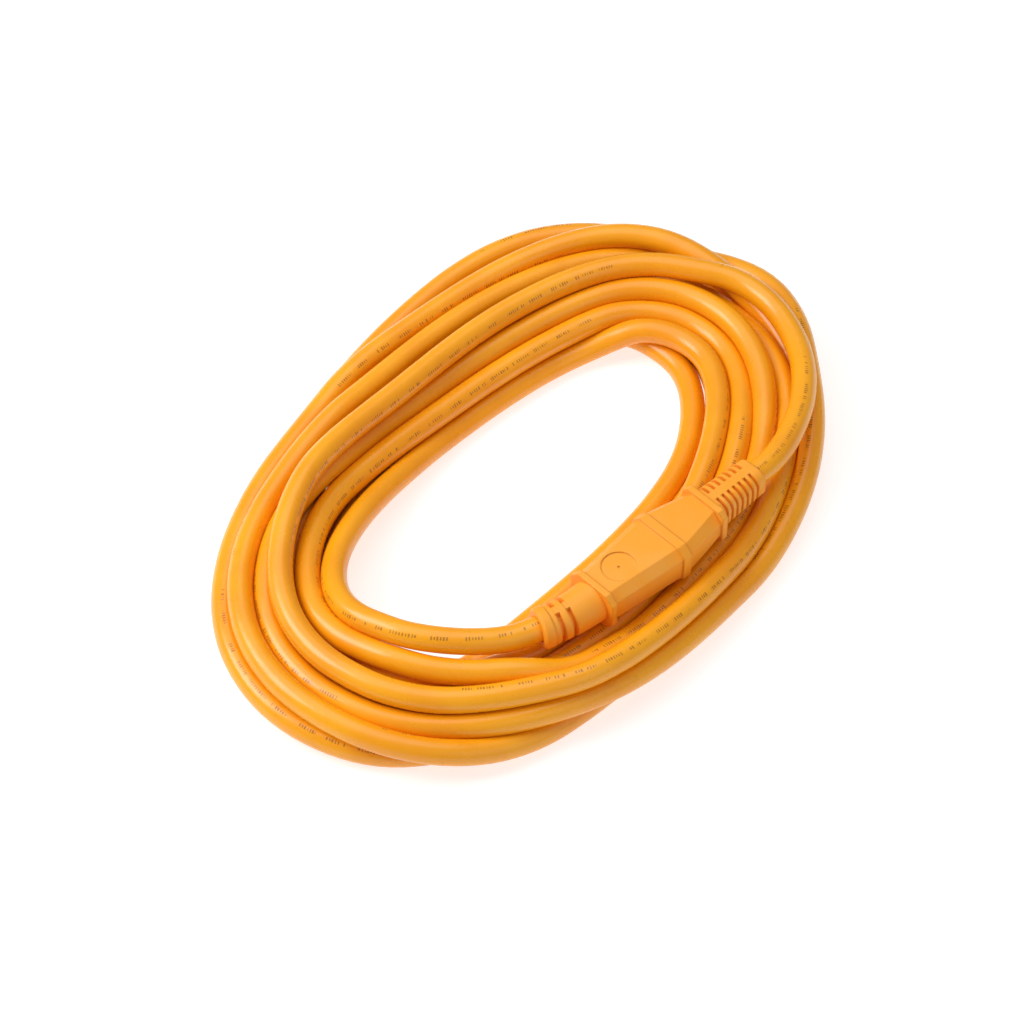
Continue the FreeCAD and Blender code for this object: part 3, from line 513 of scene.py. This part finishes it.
def tubeAlong(name, line, diameter, start=0.0):
    # a closed tube of quads; its uv holds the run along the cord, in metres, and the share of the
    # way round, and its end rings are sharp so that two tubes meet without a seam
    sides = leads["sides"]
    tangent = np.gradient(line, axis=0)
    tangent /= np.linalg.norm(tangent, axis=1)[:, None]
    side = np.cross(tangent, (0, 0, 1))
    side /= np.linalg.norm(side, axis=1)[:, None]
    top = np.cross(side, tangent)
    turn = np.arange(sides) * 2 * math.pi / sides
    ring = np.cos(turn)[None, :, None] * side[:, None] + np.sin(turn)[None, :, None] * top[:, None]
    points = (line[:, None] + ring * diameter / 2).reshape(-1, 3)
    count = len(line)
    run = start + np.concatenate([[0], np.cumsum(np.linalg.norm(np.diff(line, axis=0), axis=1))])
    i, k = np.meshgrid(np.arange(count - 1), np.arange(sides), indexing="ij")
    here, there = i * sides + k, i * sides + (k + 1) % sides
    quads = np.stack([here, there, there + sides, here + sides], -1).reshape(-1, 4)
    u = np.stack([run[i], run[i], run[i + 1], run[i + 1]], -1).reshape(-1, 4)
    v = np.stack([k, k + 1, k + 1, k], -1).reshape(-1, 4) / sides
    caps = [list(range(sides))[::-1], list(range((count - 1) * sides, count * sides))]
    mesh = bpy.data.meshes.new(name)
    mesh.from_pydata(points.tolist(), [], quads.tolist() + caps)
    mesh.polygons.foreach_set("use_smooth", [True] * len(quads) + [False, False])
    for edge in mesh.edges:
        lowest, highest = min(edge.vertices), max(edge.vertices)
        edge.use_edge_sharp = highest < sides or lowest >= (count - 1) * sides
    layer = mesh.uv_layers.new(name="run")
    uv = np.stack([u, v], -1).reshape(-1, 2)
    uv = np.concatenate([uv, np.zeros((2 * sides, 2))])
    layer.data.foreach_set("uv", uv.ravel())
    tube = bpy.data.objects.new(name, mesh)
    bpy.context.collection.objects.link(tube)
    return tube


# The leads' points, in millimetres; inBoot holds reaches from the connector's mouth
leads = {
    "straight": 12,
    "inJacketEnd": 1.5,
    "inBoot": (-41, -49),
    "inPlugBoot": 1,
    "resolution": 5,
    "sides": 16,
    "fromConnector": [(-83.5, -27, 28.5), (-91, -12, 29)],
    "toPlug": [(125, -16, 24.5), (121, -35, 23.5), (106, -55, 23.5), (87, -67, 24.5), (68, -72.8, 26)],
}


def bent(reach, aside=0, up=0):
    # a point of the pair's frame as the connector's boot bends towards the coil's hole
    run = np.clip(pair["flangeRear"] - reach, 0, None)
    beyond = np.clip(run - pair["bootLength"], 0, None)
    turn = (run - beyond) / pair["bootLength"] * pair["bootBend"]
    radius = pair["bootLength"] / pair["bootBend"]
    bentBack = (radius - aside) * np.sin(turn) + beyond * np.cos(turn)
    back = np.where(run > 0, bentBack, pair["flangeRear"] - reach)
    over = radius - (radius - aside) * np.cos(turn) + beyond * np.sin(turn)
    return pair["flangeRear"] - back, over, up


def cordRoute(c, turns):
    # the split is half way between two control points, where both lines have one point and one way
    connectorTail, plugTail = pair["connectorTail"], pair["plugTail"]
    jacketFront = np.array(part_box("connector_jacket_end")[1]) / mm - np.array(pair["mouth"])
    reaches = [pairWay @ jacketFront - c["inJacketEnd"], *c["inBoot"], connectorTail,
               connectorTail - c["straight"]]
    start = [onPair(*bent(reach)) for reach in reaches]
    start += [np.array(p) for p in c["fromConnector"]]
    end = [np.array(p) for p in c["toPlug"]]
    end += [onPair(plugTail + c["straight"]), onPair(plugTail), onPair(plugTail - c["inPlugBoot"])]
    split = (turns[-1] + end[0]) / 2
    main = np.array(start + list(turns) + [split]) * mm
    return main, np.array([split] + end) * mm


def lineLength(line):
    return float(np.linalg.norm(np.diff(line, axis=0), axis=1).sum())


mainRoute, plugRoute = cordRoute(leads, settleTurns(coil))
mainLine = nurbsLine("main_route", mainRoute)
plugLine = nurbsLine("plug_route", plugRoute)
cordDiameter = coil["cord"] * mm
mainLength, plugLength = lineLength(mainLine), lineLength(plugLine)
print("coil wound", round(mainLength, 3), "m, lead", round(plugLength, 3), "m")
mainCord = tubeAlong("cord_turns", mainLine, cordDiameter)
plugLead = tubeAlong("cord_plug_lead", plugLine, cordDiameter, start=mainLength)
for piece in (mainCord, plugLead):
    piece.data.materials.append(finishes["jacket_orange"])
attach(mainCord, "cord")
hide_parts("cord_coil", "cord_lead_connector", "connector_jacket_end")
tuple(onPair(pair["plugTail"]) * mm)
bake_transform(plugLead)
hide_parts("cord_lead_plug")


def bendBoot():
    # the boot is moulded straight and held bent by the stiff cord in it
    mesh = frame["nodes"]["connector_boot"].data.copy()
    spots = np.array([v.co for v in mesh.vertices]) / mm - np.array(pair["mouth"])
    reach, aside, up = bent(spots @ pairWay, spots @ pairSide, spots[:, 2])
    moved = np.array(pair["mouth"]) + reach[:, None] * pairWay + aside[:, None] * pairSide
    moved[:, 2] += up
    mesh.vertices.foreach_set("co", (moved * mm).ravel())
    mesh.update()
    boot = bpy.data.objects.new("connector_boot_bent", mesh)
    bpy.context.collection.objects.link(boot)
    mesh.materials.clear()
    mesh.materials.append(finishes["fitting_orange"])
    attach(boot, "cord")
    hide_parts("connector_boot")
    return boot


bentBoot = bendBoot()
print("cord made")

# every CAD piece takes the finish of its slot; a CAD jacket has no uv layer, so it goes without print
slots = {part["node"]: part["material_slot"] for part in frame["record"]["subparts"]}
for name, node in frame["nodes"].items():
    slot = slots[name]
    finish = finishes["jacket_plain"] if slot == "jacket_orange" else finishes[slot]
    node.data.materials.clear()
    node.data.materials.append(finish)
print("fittings finished")

studio = {
    "floorSize": 6,
    "floor": (0.5, 0.498, 0.495),
    "floorGlow": 0.68,
    "floorRoughness": 0.9,
    "key": {"at": (-0.5, 0.75, 0.9), "size": 0.7, "watts": 10.6},
    "top": {"at": (0.15, 0.25, 1.3), "size": 1.2, "watts": 7},
    "fill": {"at": (-0.2, -1.1, 0.7), "size": 0.9, "watts": 1.6},
    "sky": 0.31,
}


def floorFinish(s):
    # the glow keeps the floor pale while little of the cord's colour bounces off it
    f = Finish("floor_paper")
    fine = f.noise(f.place(), 40, 3)
    darker = tuple(c * 0.99 for c in s["floor"])
    f.set(Base_Color=f.blend(fine * 0.4, s["floor"], darker), Roughness=s["floorRoughness"],
          Specular_IOR_Level=0.1, Emission_Color=(1, 1, 1), Emission_Strength=s["floorGlow"])
    return f.material


def buildStudio(s):
    half = s["floorSize"] / 2
    mesh = bpy.data.meshes.new("floor")
    corners = [(-half, -half, 0), (half, -half, 0), (half, half, 0), (-half, half, 0)]
    mesh.from_pydata(corners, [], [(0, 1, 2, 3)])
    mesh.materials.append(floorFinish(s))
    floor = bpy.data.objects.new("floor", mesh)
    bpy.context.collection.objects.link(floor)
    for name in ("key", "top", "fill"):
        light = bpy.data.lights.new(name, "AREA")
        light.energy, light.size = s[name]["watts"], s[name]["size"]
        lamp = bpy.data.objects.new(name, light)
        lamp.location = s[name]["at"]
        lamp.rotation_mode = "QUATERNION"
        lamp.rotation_quaternion = (-Vector(s[name]["at"])).to_track_quat("-Z", "Y")
        bpy.context.collection.objects.link(lamp)
    sky = bpy.data.worlds.new("sky")
    sky.use_nodes = True
    sky.node_tree.nodes["Background"].inputs["Color"].default_value = (1, 1, 1, 1)
    sky.node_tree.nodes["Background"].inputs["Strength"].default_value = s["sky"]
    bpy.context.scene.world = sky


buildStudio(studio)
print("studio lit")
